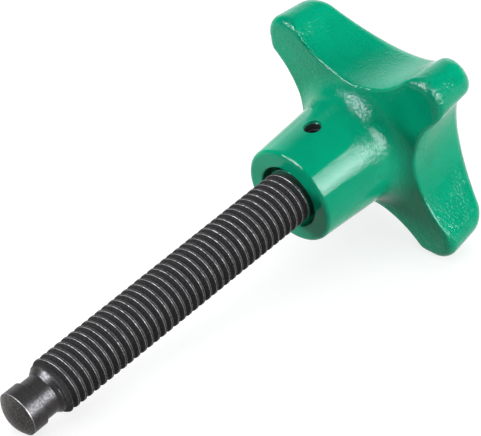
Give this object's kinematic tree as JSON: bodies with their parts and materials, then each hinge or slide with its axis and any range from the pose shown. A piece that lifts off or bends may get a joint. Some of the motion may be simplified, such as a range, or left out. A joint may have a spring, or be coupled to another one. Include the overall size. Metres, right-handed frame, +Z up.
{
  "type": "cross handle with thrust screw",
  "caption": "Cast cross handle with rounded lobes and a tapered hub, pinned to a long threaded spindle that ends in a necked, rounded thrust tip for clamping.",
  "frame": {"origin": "on the bench, under the middle of the box of the handle as it lies on two lobes and the thrust tip", "axes": "+Z up; +X level, from the thrust tip to the handle; the spindle axis lies in the XZ plane, rising 10.7 degrees towards the handle"},
  "size_m": [0.0969, 0.039, 0.0386],
  "materials": {
    "green_paint": "gloss green paint on cast iron",
    "black_steel": "black oxide on turned steel",
    "pin_steel": "dark spring steel"
  },
  "bodies": {
    "root": {"cross_handle": "green_paint", "threaded_spindle": "black_steel", "spring_pin": "pin_steel"}
  },
  "joints": []
}
